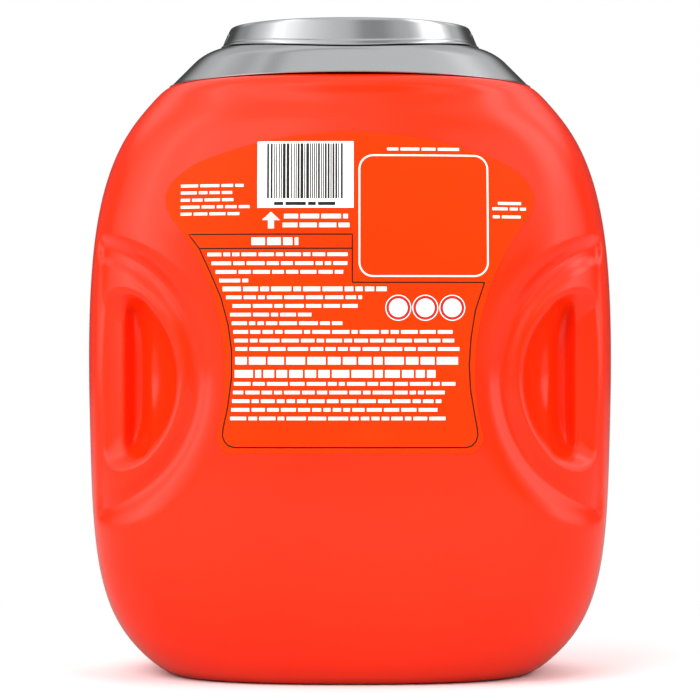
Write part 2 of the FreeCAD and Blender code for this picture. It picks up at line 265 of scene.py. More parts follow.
def withGrip(x, y, z, grow):
    # pushes the face in where a grip is; grow makes the hollow wider and deeper, for the wall's inside
    g = grip
    out, across = np.abs(y), np.abs(x)
    dx, dz = across - g["centreX"], (z - g["centreZ"]) / g["tall"]
    r = np.hypot(dx, dz) - grow
    # the ledge with its ridge, crease, channel and lip
    ledge = ledgeAt(np.clip(r, g["radii"][0], g["reach"]))
    band = softStep((g["topOuter"] - r) / g["topOuterSoft"])
    band *= softStep((r - g["topInner"]) / g["topInnerSoft"])
    ledge += g["topDepth"] * softStep((dz - g["topFrom"]) / g["topOver"]) * band
    # the dish's rim, steeper above and below, then its floor with the slot
    upright = dz ** 2 / (dx ** 2 + dz ** 2)
    wallR = g["rimRadius"] + (r - g["rimRadius"]) * (1 + g["wallRise"] * upright)
    innermost, outermost = g["wallRadii"][0], g["wallRadii"][-1]
    rim = wallAt(np.clip(wallR, innermost, outermost)) + g["wallSteep"] * np.maximum(wallR - outermost, 0.0)
    slot = softStep((across - g["slotInner"]) / g["slotSoft"])
    slot *= softStep((g["slotOuter"] - across) / g["slotSoft"])
    slot *= softStep((g["slotHalf"] - np.abs(dz)) / (2 * g["slotSoft"]))
    floorLevel = g["floorY"] - g["sideFall"] * np.maximum(across - g["slotOuter"], 0.0)
    hollow = softMax(rim, floorLevel, g["softFloor"]) - g["slotDepth"] * slot - grow
    pushed = np.where(r < g["reach"], softMin(out - ledge, hollow, g["softRim"]), out)
    # nothing is pushed in past the grip's upright side
    inside = softStep((g["sideX"] + grow - across) / g["sideSoft"])
    return np.copysign(out + (pushed - out) * inside, y)


def columnAngles(z):
    # steps round the tub: closer together over the grips, and lined up with a grip's upright side
    level = min(max(z, grip["lowest"]), grip["highest"])
    tried = np.linspace(0.02, math.pi / 2 - 0.02, 400)
    x, _ = levelRing(tried, widthAt(level), depthAt(level), squareAt(level))
    sideAngle = np.interp(-grip["sideX"], -x, tried)
    innerAngle = np.interp(-grip["innerX"], -x, tried)
    beside, over, middle = tub["columns"]
    quarter = np.concatenate([
        np.linspace(0, sideAngle, beside, endpoint=False),
        np.linspace(sideAngle, innerAngle, over, endpoint=False),
        np.linspace(innerAngle, math.pi / 2, middle, endpoint=False),
    ])
    half = np.concatenate([quarter, [math.pi / 2], math.pi - quarter[:0:-1]])
    return np.concatenate([half, half + math.pi])


def tubRing(z, inset=0.0):
    x, y = levelRing(columnAngles(z), widthAt(z) - inset, depthAt(z) - inset, squareAt(z))
    level = softMin(np.full_like(x, z), deckAt(x) - inset, tub["deckRound"])
    return np.stack([x, withGrip(x, y, z, inset), level], 1)


def plainRing(angles, halfWidth, halfDepth, squareness, z):
    # a hair wide at the least, so that a ring at the very middle can be worked out
    x, y = levelRing(angles, max(halfWidth, 1e-5), max(halfDepth, 1e-5), squareness)
    return np.stack([x, y, np.broadcast_to(z, x.shape)], 1)


def deckRing(angles, share, drop=0.0):
    # between the shoulder and the neck's root, level with the crowned deck
    top = tub["shoulder"]
    x0, y0 = levelRing(angles, widthAt(top), depthAt(top), squareAt(top))
    x1, y1 = np.cos(angles) * tub["neckOuter"], np.sin(angles) * tub["neckOuter"]
    x, y = x0 + (x1 - x0) * share, y0 + (y1 - y0) * share
    return np.stack([x, y, deckAt(x) - drop], 1)


def makeTub():
    # from the middle of the base up the outside, over the neck and down the inside to its floor
    base, shoulder, wall = columnAngles(0.0), columnAngles(tub["shoulder"]), tub["wall"]
    rings = [plainRing(base, *ring) for ring in tub["underside"]]
    for start, stop, step in tub["levels"]:
        rings += [tubRing(z) for z in np.arange(start, stop, step)]
    rings += [deckRing(shoulder, share) for share in tub["deckShares"]]
    rings += [plainRing(shoulder, radius, radius, 2.0, z) for radius, z in tub["neck"]]
    rings += [deckRing(shoulder, share, wall) for share in tub["ceilingShares"]]
    for start, stop, step in tub["insideLevels"]:
        rings += [tubRing(z, wall) for z in np.arange(start, stop, step)]
    rings += [plainRing(base, *ring) for ring in tub["insideFloor"]]
    return rolledSheet("tubShell", rings)


tubShell = makeTub()
print("tub form made:", len(tubShell.data.polygons), "faces")


# the collar: a dome with a straight flank, a round well, a spout and a snap ring

collar = {
    "halfWidth": 73.3, "ratio": 0.8895, "seat": 0.35,
    "slopeTop": (63.1, 246.39), "middle": (58.39, 249.75), "top": (49.01, 252.2),    # reach and height
    "wall": 1.7, "wallLean": 0.62, "well": 49.9, "wellWall": 1.5, "wellRound": 0.5,
    "plateLow": 244.05, "plateHigh": 245.55, "plateRise": 0.65, "plateRound": 0.6,
    "spoutOuter": 43.9, "spoutInner": 42.5, "spoutTop": 250.95, "spoutRound": 0.35,
    "snapInner": 46.3, "snapOuter": 47.7, "snapBottom": 237.5,
    "edgeShare": 0.012, "edgeBulge": 1.0022, "edgeRise": 0.35,        # the rounded lower edge
    # a shallow groove under the lid's edge, by reach
    "groove": 0.55, "grooveOuter": 55.2, "grooveOuterSoft": 2.2, "grooveInner": 50.2, "grooveInnerSoft": 1.6,
    # rings up the dome as first share, last share and count, then the well's rounded rim as share
    # and lift, and the rings back down its inside
    "skinRings": (0.03, 0.955, 34), "rimRings": [(0.985, -0.06), (1.0, -0.32)], "rimDrop": 0.4,
    "insideShares": (0.99, 0.6, 0.25, 0.0),
    "plateEase": 0.05, "footIn": 0.3, "footUp": 0.25, "steps": 288,
}

domeX, domeZ, domeR = circleThrough(collar["slopeTop"], collar["middle"], collar["top"])
collarEdge = tub["deck"] + collar["seat"] - collar["halfWidth"] ** 2 / (2 * tub["deckCrown"])


def domeAt(x, y, drop=0.0):
    # height of the dome's outside over a point, or of its inside with the wall's drop
    slopeReach, slopeHigh = collar["slopeTop"]
    lean = collar["wallLean"] * drop
    reach = np.hypot(x, y / collar["ratio"]) + lean
    slope = (slopeHigh - collarEdge) / (collar["halfWidth"] - slopeReach)
    straight = slopeHigh - (reach - slopeReach) * slope
    arc = domeZ + np.sqrt(np.clip(domeR ** 2 - (reach - domeX) ** 2, 0.0, None))
    return np.where(reach > slopeReach, straight, arc) - lean


def seatAt(x):
    return deckAt(x) + collar["seat"]


def skinRing(share, drop=0.0, lift=0.0):
    # a ring on the dome, share 0 at its lower edge and 1 at the well
    c = collar
    a = evenAngles(c["steps"])
    cos, sin = np.cos(a), np.sin(a)
    outerX, outerY = (c["halfWidth"] - drop) * cos, (c["halfWidth"] - drop) * c["ratio"] * sin
    x = outerX + (c["well"] * cos - outerX) * share
    y = outerY + (c["well"] * sin - outerY) * share
    z = np.maximum(domeAt(x, y, drop), seatAt(x)) + lift
    if drop == 0:
        reach = np.hypot(x, y / c["ratio"])
        outside = softStep((c["grooveOuter"] - reach) / c["grooveOuterSoft"])
        z -= c["groove"] * outside * softStep((reach - c["grooveInner"]) / c["grooveInnerSoft"])
    return np.stack([x, y, z], 1)


def makeCollar():
    c = collar
    lower = skinRing(0.0)
    lower[:, 2] = seatAt(lower[:, 0])
    edge = skinRing(c["edgeShare"])
    edge[:, 2] = seatAt(edge[:, 0]) + c["edgeRise"]
    edge[:, :2] = lower[:, :2] * c["edgeBulge"]
    rings = [lower, edge]
    rings += [skinRing(share) for share in np.linspace(*c["skinRings"])]
    rings += [skinRing(share, lift=lift) for share, lift in c["rimRings"]]
    wellTop = rings[-1][:, 2]
    inner = c["well"] - c["wellWall"]
    rings.append(circleRing(c["well"] - c["wellRound"], wellTop, c["steps"]))
    rings.append(circleRing(inner, wellTop - c["rimDrop"], c["steps"]))
    profile = [
        (inner, c["plateHigh"] + c["plateRise"]),
        (inner - c["plateRound"], c["plateHigh"] + c["plateEase"]),
        (c["spoutOuter"] + c["plateRound"], c["plateHigh"]),
        (c["spoutOuter"], c["plateHigh"] + c["plateRise"]),
        (c["spoutOuter"], c["spoutTop"] - c["spoutRound"]),
        (c["spoutOuter"] - c["spoutRound"], c["spoutTop"]),
        (c["spoutInner"] + c["spoutRound"], c["spoutTop"]),
        (c["spoutInner"], c["spoutTop"] - c["spoutRound"]),
        (c["spoutInner"], c["plateLow"] + c["footUp"]), (c["spoutInner"] + c["footIn"], c["plateLow"]),
        (c["snapInner"], c["plateLow"]), (c["snapInner"], c["snapBottom"]),
        (c["snapOuter"], c["snapBottom"]), (c["snapOuter"], c["plateLow"]), (c["well"], c["plateLow"]),
    ]
    rings += [circleRing(radius, z, c["steps"]) for radius, z in profile]
    rings += [skinRing(share, c["wall"]) for share in c["insideShares"]]
    rings.append(lower)
    return rolledSheet("collarShell", rings)


collarShell = makeCollar()
print("collar made:", len(collarShell.data.polygons), "faces")


# the flip-up lid: a tapered drum whose lip follows the dome, with a plug, ribs and two windows

lid = {
    "top": 260.3, "topRadius": 48.6, "taper": 0.417, "wall": 1.5, "topWall": 1.8,
    "edge": 0.85, "edgeIn": 0.8, "gap": 0.35, "lip": 1.3, "lipProud": 0.55,
    "edgeRings": 6, "wallTop": 1.0, "wallRings": 14, "wallFoot": 0.25,
    # the lip's rounding: share of the way out to it, and lift
    "lipHeadRings": [(0.25, 0.0), (0.8, 0.0), (0.97, -0.12), (1.0, -0.3)],
    "lipFootRings": [(1.0, 0.25), (0.85, 0.03)],
    "plugOuter": 42.0, "plugWall": 1.3, "plugBottom": 246.6,
    "plugLeadOut": (0.5, 0.6), "plugLeadIn": (0.3, 0.5),        # its tapered tip: across and up
    "ribs": 8, "ribWall": 1.1, "ribDepth": 3.0, "ribReach": 51.0,
    "middle": 0.0001, "topRings": (16.0, 32.0, 44.0), "underRing": 20.0, "steps": 320, "crispAngle": 38,
}
lidUnder = lid["top"] - lid["topWall"]


def coneAt(z, grow=0.0):
    return lid["topRadius"] + (lid["top"] - z) * lid["taper"] + grow


def coneRing(lift, grow=0.0):
    # a ring on the lid's cone that stands the given lift above the dome, found in a few steps
    a = evenAngles(lid["steps"])
    z = np.full_like(a, collar["top"][1])
    for turn in range(14):
        r = coneAt(z, grow)
        z = domeAt(r * np.cos(a), r * np.sin(a)) + lift
    r = coneAt(z, grow)
    return np.stack([r * np.cos(a), r * np.sin(a), z], 1)


def between(first, second, share, lift=0.0):
    ring = first + (second - first) * share
    ring[:, 2] += lift
    return ring


def makeLid():
    # from the middle of the top down the outside, round the lip, up the wall and round the plug
    v = lid
    foot, lipFoot = coneRing(v["gap"]), coneRing(v["gap"], v["lipProud"])
    neck, lipHead = coneRing(v["gap"] + v["lip"]), coneRing(v["gap"] + v["lip"], v["lipProud"])
    rings = [circleRing(radius, v["top"], v["steps"]) for radius in (v["middle"], *v["topRings"])]
    for turn in np.linspace(0.0, 1.0, v["edgeRings"]):
        bend = turn * (math.pi / 2 - math.atan(v["taper"]))
        radius = v["topRadius"] - v["edge"] * v["edgeIn"] + v["edge"] * math.sin(bend)
        rings.append(circleRing(radius, v["top"] - v["edge"] + v["edge"] * math.cos(bend), v["steps"]))
    wallHigh = v["top"] - v["wallTop"]
    shoulder = circleRing(coneAt(wallHigh), wallHigh, v["steps"])
    aboveLip = between(neck, neck, 0.0, v["wallFoot"])
    rings += [between(shoulder, aboveLip, share) for share in np.linspace(0.0, 1.0, v["wallRings"])]
    rings += [between(neck, lipHead, share, lift) for share, lift in v["lipHeadRings"]]
    rings += [between(foot, lipFoot, share, lift) for share, lift in v["lipFootRings"]]
    rings += [foot, coneRing(v["gap"], -v["wall"])]
    plugInner = v["plugOuter"] - v["plugWall"]
    (outIn, outUp), (inIn, inUp) = v["plugLeadOut"], v["plugLeadIn"]
    profile = [
        (coneAt(lidUnder, -v["wall"]), lidUnder), (v["plugOuter"], lidUnder),
        (v["plugOuter"], v["plugBottom"] + outUp), (v["plugOuter"] - outIn, v["plugBottom"]),
        (plugInner + inIn, v["plugBottom"]), (plugInner, v["plugBottom"] + inUp), (plugInner, lidUnder),
        (v["underRing"], lidUnder), (v["middle"], lidUnder),
    ]
    rings += [circleRing(radius, z, v["steps"]) for radius, z in profile]
    return rolledSheet("lidShell", rings)


def coneSolid(grow):
    low, high = tub["deck"], lid["top"]
    deselectAll()
    bpy.ops.mesh.primitive_cone_add(
        vertices=lid["steps"], radius1=coneAt(low, grow) * mm, radius2=coneAt(high, grow) * mm,
        depth=(high - low) * mm, location=(0, 0, (high + low) / 2 * mm))
    return bpy.context.object


def ribRing():
    # the small ribs between the plug and the lid's wall, trimmed to the cone's taper
    v = lid
    low, high = lidUnder - v["ribDepth"], lidUnder + v["topWall"] / 2
    inner, outer = v["plugOuter"] - v["plugWall"] / 2, v["ribReach"]
    away = (inner + outer) / 2 * mm
    ribs = []
    deselectAll()
    for number in range(v["ribs"]):
        turn = 2 * math.pi * (number + 0.5) / v["ribs"]
        bpy.ops.mesh.primitive_cube_add(
            size=1, location=(away * math.cos(turn), away * math.sin(turn), (low + high) / 2 * mm),
            rotation=(0, 0, turn), scale=((outer - inner) * mm, v["ribWall"] * mm, (high - low) * mm))
        ribs.append(bpy.context.object)
    ring = joined(ribs[::-1])
    bpy.ops.object.transform_apply(location=True, rotation=True, scale=True)
    cutBy(ring, coneSolid(-v["wall"] / 2), "INTERSECT")
    return ring


# the squeeze latches: a tab in each window, its flange behind the wall, a shelf and a leg with its nose

latch = {
    "width": 22.0, "bottom": 253.0, "top": 257.6, "proud": 0.18, "gap": 0.3, "corner": 1.0,
    "windowX": 53.0, "windowDeep": 14.0, "slabReach": 100.0,
    "flange": 1.0, "flangeOuter": -1.8, "flangeInner": -2.8, "flangeRise": 0.4,
    "shelf": 1.3, "shelfOuter": 49.4,
    "legOuter": 47.0, "legWall": 1.3, "legWidth": 8.0, "legBottom": 248.0, "nose": 1.4, "noseOuter": 47.5,
    "edgeRound": 0.22, "crispAngle": 40,
}


def sideBlock(middleX, deep, wide, low, high, corner=0.0):
    # an upright block across one side of the lid
    deselectAll()
    bpy.ops.mesh.primitive_cube_add(size=1, location=(middleX * mm, 0, (low + high) / 2 * mm),
                                    scale=(deep * mm, wide * mm, (high - low) * mm))
    bpy.ops.object.transform_apply(location=True, rotation=False, scale=True)
    block = bpy.context.object
    if corner:
        applyModifier(block, "BEVEL", width=corner * mm, segments=4, limit_method="ANGLE")
    return block


def windowBlock(side):
    # as wide as the latch, and its gap more all round
    v = latch
    return sideBlock(side * v["windowX"], v["windowDeep"], v["width"] + 2 * v["gap"],
                     v["bottom"] - v["gap"], v["top"] + v["gap"], v["corner"])


def slab(side, wide, low, high, corner=0.0):
    # from the lid's middle outwards
    return sideBlock(side * latch["slabReach"] / 2, latch["slabReach"], wide, low, high, corner)


def drumSolid(radius, low, high):
    deselectAll()
    bpy.ops.mesh.primitive_cylinder_add(vertices=256, radius=radius * mm, depth=(high - low) * mm,
                                        location=(0, 0, (high + low) / 2 * mm))
    return bpy.context.object


def makeLatch(side, name):
    # faces that would lie in one plane are kept a hair apart, so that the cuts stay clean
    v = latch
    shelfTop = v["bottom"] + v["shelf"]
    button = coneSolid(v["proud"])
    cutBy(button, coneSolid(v["flangeInner"]), "DIFFERENCE")
    cutBy(button, slab(side, v["width"], v["bottom"], v["top"], v["corner"]), "INTERSECT")
    flange = coneSolid(v["flangeOuter"])
    cutBy(flange, coneSolid(v["flangeInner"]), "DIFFERENCE")
    flangeWide = v["width"] + 2 * v["flange"]
    cutBy(flange, slab(side, flangeWide, v["bottom"] + 0.02, v["top"] + v["flangeRise"]), "INTERSECT")
    leg = drumSolid(v["legOuter"], v["legBottom"], shelfTop)
    cutBy(leg, drumSolid(v["noseOuter"], v["legBottom"] + 0.01, v["legBottom"] + v["nose"]), "UNION")
    cutBy(leg, drumSolid(v["shelfOuter"], v["bottom"] + 0.03, shelfTop - 0.01), "UNION")
    cutBy(leg, drumSolid(v["legOuter"] - v["legWall"], v["legBottom"] - 1, shelfTop + 1), "DIFFERENCE")
    cutBy(leg, slab(side, v["legWidth"], v["legBottom"] - 0.5, shelfTop + 0.5), "INTERSECT")
    cutBy(button, flange, "UNION")
    cutBy(button, leg, "UNION")
    applyModifier(button, "BEVEL", width=v["edgeRound"] * mm, segments=2, limit_method="ANGLE",
                  angle_limit=math.radians(v["crispAngle"]))
    smoothFaces(button, v["crispAngle"])
    button.name = button.data.name = name
    return button


lidShell = makeLid()
for side in (1, -1):
    cutBy(lidShell, windowBlock(side), "DIFFERENCE")
cutBy(lidShell, ribRing(), "UNION")
smoothFaces(lidShell, lid["crispAngle"])
print("lid made:", len(lidShell.data.polygons), "faces")

latchRight = makeLatch(1, "latchRight")
latchLeft = makeLatch(-1, "latchLeft")
print("latches made:", len(latchRight.data.polygons), "faces each")


# the panel on the back, as x and z on the tub's face

panel = {
    "topZ": 213.4, "topCorner": (57.6, 202.6), "bulge": (71.0, 186.5), "hip": (66.0, 177.4),
    "waist": (47.8, 122.4), "hem": (51.0, 97.0), "bottom": 90.5, "corner": 6.5, "cornerLean": 0.28,
    "filmLift": 0.15, "printLift": 0.20, "overLift": 0.24, "thick": 0.10, "crispAngle": 50,
    "steps": (10, 60, 24, 16, 61),        # corner, waist, shoulder, top, and across
}


def arcThrough(a, b, c, steps):
    cx, cy, radius = circleThrough(a, b, c)
    turns = np.unwrap([math.atan2(y - cy, x - cx) for x, y in (a, b, c)])
    t = np.linspace(turns[0], turns[2], steps)
    return np.stack([cx + radius * np.cos(t), cy + radius * np.sin(t)], 1)


def shoulderCurve(hip, bulge, topCorner, steps):
    # one bend through the bulge
    t = np.linspace(0, 1, steps)
    chord = math.dist(hip, bulge)
    share = chord / (chord + math.dist(bulge, topCorner))
    curve = []
    for p0, p1, p2 in zip(hip, bulge, topCorner):
        middle = (p1 - (1 - share) ** 2 * p0 - share ** 2 * p2) / (2 * share * (1 - share))
        curve.append((1 - t) ** 2 * p0 + 2 * t * (1 - t) * middle + t ** 2 * p2)
    return np.stack(curve, 1)


def laid(name, rows, lift):
    # a grid of x and z laid on the tub's back
    rows = np.array(rows, float)
    x, z = rows[..., 0], rows[..., 1]
    return bentGrid(name, np.stack([x, -(faceAt(x, z) + lift), z], -1) * mm, False)


def plated(sheets, name):
    # joins laid grids into one piece and gives them their thickness towards the tub
    piece = joined(sheets)
    piece.name = piece.data.name = name
    bpy.ops.object.mode_set(mode="EDIT")
    bpy.ops.mesh.select_all(action="SELECT")
    bpy.ops.mesh.remove_doubles(threshold=0.000004)
    bpy.ops.mesh.normals_make_consistent(inside=False)
    bpy.ops.object.mode_set(mode="OBJECT")
    normals = np.zeros(len(piece.data.polygons) * 3)
    piece.data.polygons.foreach_get("normal", normals)
    if normals[1::3].mean() > 0:
        bpy.ops.object.mode_set(mode="EDIT")
        bpy.ops.mesh.flip_normals()
        bpy.ops.object.mode_set(mode="OBJECT")
    applyModifier(piece, "SOLIDIFY", thickness=panel["thick"] * mm, offset=-1.0)
    smoothFaces(piece, panel["crispAngle"])
    return piece


def makePanel():
    # rows from the hem up to the crown of the top arc, each as wide as the outline there
    v = panel
    cornerSteps, waistSteps, shoulderSteps, topSteps, acrossSteps = v["steps"]
    (topX, topLow), lean = v["topCorner"], v["cornerLean"]
    inner = v["hem"][0] - v["corner"]
    cornerMiddle = (inner + (1 - lean) * v["corner"], v["bottom"] + lean * v["corner"])
    outline = np.concatenate([
        arcThrough((inner, v["bottom"]), cornerMiddle, v["hem"], cornerSteps),
        arcThrough(v["hem"], v["waist"], v["hip"], waistSteps)[1:],
        shoulderCurve(v["hip"], v["bulge"], v["topCorner"], shoulderSteps)[1:],
    ])
    middleX, middleZ, radius = circleThrough((-topX, topLow), (0, v["topZ"]), v["topCorner"])
    topHeights = topLow + (v["topZ"] - topLow) * (1 - np.linspace(1, 0, topSteps)[1:] ** 2)
    topWidths = np.sqrt(np.maximum(radius ** 2 - (topHeights - middleZ) ** 2, 1e-6)) + middleX
    topWidths[-1] = 0.02
    widths = np.concatenate([outline[:, 0], topWidths])
    levels = np.concatenate([outline[:, 1], topHeights])
    across = np.linspace(-1, 1, acrossSteps)
    rows = [np.stack([across * w, np.full_like(across, z)], 1) for w, z in zip(widths, levels)]
    return plated([laid("panelFilm", rows, v["filmLift"])], "panelFilm")


panelFilm = makePanel()
print("panel made:", len(panelFilm.data.polygons), "faces")


# the print on the panel: plain bars, lines, stripes and discs, as x and z

printed = {
    # rows of plain bars: how tall, and each row's height, left and right end
    "rows": [
        (1.1, [
            (193.0, -65.0, -40.7), (190.3, -65.0, -45.1), (187.5, -65.0, -44.6), (184.8, -65.0, -38.4),
            (182.1, -65.0, -42.3), (206.9, 14.2, 41.8), (181.0, 54.7, 65.5), (186.2, 56.7, 65.7),
            (184.1, 54.5, 67.6),
        ]),
        (1.35, [
            (166.5, -54.5, -0.9), (163.1, -52.9, -1.0), (159.8, -51.3, -2.6), (156.5, -49.9, -38.8),
            (150.1, -47.3, 4.6), (146.8, -44.8, 2.9), (143.5, -45.7, -14.7), (140.2, -45.1, -2.9),
            (136.9, -44.5, 39.1), (133.6, -44.1, 39.7), (130.4, -43.7, 41.7), (117.1, -44.3, 40.2),
            (113.8, -44.6, 36.1), (110.5, -45.0, 34.8), (107.2, -45.3, 33.3), (103.9, -45.7, 36.4),
        ]),
        (1.75, [(181.1, -25.2, -0.8), (177.7, -25.7, -0.2), (153.3, -48.6, 14.0)]),
        (2.9, [(125.9, -43.8, 41.2), (120.9, -44.0, 32.6), (171.5, -37.6, -19.7)]),
    ],
    "barLengths": (2.2, 8.0), "barGap": 0.85, "barShortest": 0.8, "barRest": 1.6,
    "box": (3.6, 52.7, 158.2, 204.5), "boxRadius": 5.2, "boxLine": 0.65,        # left, right, low, high
    "arrowTip": (-30.2, 182.8), "arrowRight": (-26.8, 179.6), "arrowLeft": (-33.6, 179.6),
    "arrowStem": (-31.3, -29.0, 176.4, 179.6), "arrowBlunt": 0.02,
    "patch": (-35.4, 1.4, 184.3, 209.9),        # the white patch under the stripes
    "stripes": (-31.7, -2.9, 187.9, 209.1), "stripeWidths": (0.42, 0.42, 0.75, 1.1),
    "stripeGaps": (0.34, 0.34, 0.6), "stripeSeed": 5,
    "underStripes": (185.95, -29.0, -5.6), "underTall": 1.3, "underSeed": 8,
    # the discs' middles, and the inner and outer radius of the white and of the ring on it
    "discs": [(18.4, 146.1), (28.7, 146.1), (39.0, 146.1)],
    "discWhite": (0.02, 4.95), "discRing": (3.55, 4.6),
    "frame": [
        (-61.8, 174.2), (0.9, 174.2), (0.9, 155.8), (51.4, 155.8), (47.9, 145.3), (46.2, 134.8),
        (45.5, 124.3), (46.0, 114.7), (47.6, 105.2), (48.6, 99.9), (48.8, 97.5), (48.1, 95.1),
        (46.6, 93.5), (44.5, 92.8), (-44.3, 92.8), (-46.5, 93.5), (-47.9, 95.0), (-48.7, 97.1),
        (-48.4, 100.4), (-46.7, 108.0), (-45.2, 119.5), (-45.2, 130.0), (-46.5, 139.6), (-49.3, 150.1),
        (-53.4, 159.6), (-57.7, 168.8),
    ],
    "headingLine": [(-57.7, 168.8), (0.9, 168.8)], "frameLine": 0.6,
}


def block(left, right, low, high, lift=panel["printLift"], step=2.5):
    columns = np.linspace(left, right, max(2, int((right - left) / step) + 2))
    levels = np.linspace(low, high, max(2, int((high - low) / step) + 2))
    return laid("block", [[(x, z) for x in columns] for z in levels], lift)


def line(points, width, closed=False, step=1.5):
    # a ribbon of even width along a path
    points = np.array(points, float)
    if closed:
        points = np.concatenate([points, points[:1]])
    gaps = np.hypot(*np.diff(points, axis=0).T)
    run = np.concatenate([[0], np.cumsum(gaps)])
    t = np.union1d(np.linspace(0, run[-1], max(3, int(run[-1] / step))), run)
    x, z = np.interp(t, run, points[:, 0]), np.interp(t, run, points[:, 1])
    if closed:
        dx = np.roll(x[:-1], -1) - np.roll(x[:-1], 1)
        dz = np.roll(z[:-1], -1) - np.roll(z[:-1], 1)
        dx, dz = np.append(dx, dx[0]), np.append(dz, dz[0])
    else:
        dx, dz = np.gradient(x), np.gradient(z)
    size = np.hypot(dx, dz)
    nx, nz = -dz / size * width / 2, dx / size * width / 2
    rows = [np.stack([x - nx, z - nz], 1), np.stack([x + nx, z + nz], 1)]
    return laid("line", rows, panel["printLift"])


def roundedBox(left, right, low, high, radius, turns=10):
    points = []
    corners = [(right - radius, high - radius, 90), (left + radius, high - radius, 180),
               (left + radius, low + radius, 270), (right - radius, low + radius, 360)]
    for cx, cz, end in corners:
        for i in range(turns + 1):
            angle = math.radians(end - 90 + 90 * i / turns)
            points.append((cx + radius * math.cos(angle), cz + radius * math.sin(angle)))
    return points


def disc(place, inner, outer, lift=panel["printLift"], steps=48):
    (cx, cz), a = place, np.linspace(0, 2 * math.pi, steps + 1)
    rows = [np.stack([cx + r * np.cos(a), cz + r * np.sin(a)], 1) for r in np.linspace(inner, outer, 3)]
    return laid("disc", rows, lift)


def arrowHead():
    tip = np.array(printed["arrowTip"])
    edge = np.linspace(printed["arrowLeft"], printed["arrowRight"], 5)
    rows = [tip + (edge - tip) * share for share in np.linspace(printed["arrowBlunt"], 1.0, 4)]
    return laid("arrow", rows, panel["printLift"])


def wordBars(z, left, right, tall, seed, lift=panel["printLift"]):
    # a row of plain bars of uneven length with small spaces between
    draw = random.Random(seed)
    bars, x = [], left
    while x < right - printed["barShortest"]:
        end = min(x + draw.uniform(*printed["barLengths"]), right)
        if right - end < printed["barRest"]:
            end = right
        bars.append(block(x, end, z - tall / 2, z + tall / 2, lift))
        x = end + printed["barGap"]
    return bars


def makeLightPrint():
    sheets = []
    for tall, rows in printed["rows"]:
        for z, left, right in rows:
            sheets += wordBars(z, left, right, tall, round(z * 10))
    box = roundedBox(*printed["box"], printed["boxRadius"])
    sheets.append(line(box, printed["boxLine"], closed=True))
    sheets.append(block(*printed["arrowStem"]))
    sheets.append(arrowHead())
    return plated(sheets, "panelPrintLight")


def makeWhite():
    sheets = [block(*printed["patch"], step=2.0)]
    sheets += [disc(place, *printed["discWhite"]) for place in printed["discs"]]
    return plated(sheets, "panelWhite")


def makeStripes():
    # upright stripes of uneven width, and a row of short bars under them
    draw = random.Random(printed["stripeSeed"])
    left, right, low, high = printed["stripes"]
    sheets, x = [], left
    while x < right:
        wide = draw.choice(printed["stripeWidths"])
        sheets.append(block(x, x + wide, low, high, panel["overLift"]))
        x += wide + draw.choice(printed["stripeGaps"])
    under, tall, seed = printed["underStripes"], printed["underTall"], printed["underSeed"]
    sheets += wordBars(*under, tall, seed, panel["overLift"])
    return plated(sheets, "panelStripes")


def makeRings():
    rings = [disc(place, *printed["discRing"], panel["overLift"]) for place in printed["discs"]]
    return plated(rings, "panelRings")


def makeDarkLine():
    outline = line(printed["frame"], printed["frameLine"], closed=True)
    return plated([outline, line(printed["headingLine"], printed["frameLine"])], "panelLine")


lightPrint = makeLightPrint()
whiteBlock = makeWhite()
stripes = makeStripes()
redRings = makeRings()
darkLine = makeDarkLine()
print("print made")


# materials

def toLinear(hexTone):
    values = []
    for i in (0, 2, 4):
        c = int(hexTone[i:i + 2], 16) / 255
        values.append(c / 12.92 if c <= 0.04045 else ((c + 0.055) / 1.055) ** 2.4)
    return (*values, 1.0)


def addNode(tree, kind, settings=None, links=None):
    # settings: attributes or input values; links: input name or number -> (node, output)
    # by number, a Map Range has its span in at 1 and 2 and out at 3 and 4, and a tone mix its tones
    # at 6 and 7
    node = tree.nodes.new(kind)
    for key, value in (settings or {}).items():
        if isinstance(key, str) and hasattr(node, key):
            setattr(node, key, value)
        else:
            node.inputs[key].default_value = value
    for key, (source, output) in (links or {}).items():
        tree.links.new(source.outputs[output], node.inputs[key])
    return node


def newMaterial(name):
    material = bpy.data.materials.new(name)
    material.use_nodes = True
    tree = material.node_tree
    tree.nodes.clear()
    return material, tree


def cloudy(tree, perMetre, detail):
    # unevenness by how often it repeats in a metre: 14 is about 70 mm, and 2600 about 0.4 mm
    place = addNode(tree, "ShaderNodeTexCoord")
    return addNode(tree, "ShaderNodeTexNoise", {"Scale": perMetre, "Detail": detail},
                   {"Vector": (place, "Object")})


def mixTones(tree, factor, first, second, output=0):
    return addNode(tree, "ShaderNodeMix", {"data_type": "RGBA", 6: toLinear(first), 7: toLinear(second)},
                   {0: (factor, output)})


def tubPlastic():
    # blow-moulded HDPE tinted in the mass: a glossy skin with soft highlights, a trace of unevenness
    # in its colour and gloss over 70 mm, and fine ripples of about 2.4 mm
    material, tree = newMaterial("mouldedTubPlastic")
    cloud, ripple = cloudy(tree, 14.0, 3.0), cloudy(tree, 420.0, 2.0)
    tone = mixTones(tree, cloud, "F22704", "FA2E05")
    rough = addNode(tree, "ShaderNodeMapRange", {3: 0.15, 4: 0.20}, {0: (cloud, 0)})
    waves = addNode(tree, "ShaderNodeBump", {"Strength": 0.05, "Distance": 0.6 * mm}, {"Height": (ripple, 0)})
    shader = addNode(tree, "ShaderNodeBsdfPrincipled", {"Specular IOR Level": 0.44},
                     {"Base Color": (tone, 2), "Roughness": (rough, 0), "Normal": (waves, 0)})
    addNode(tree, "ShaderNodeOutputMaterial", links={"Surface": (shader, 0)})
    return material


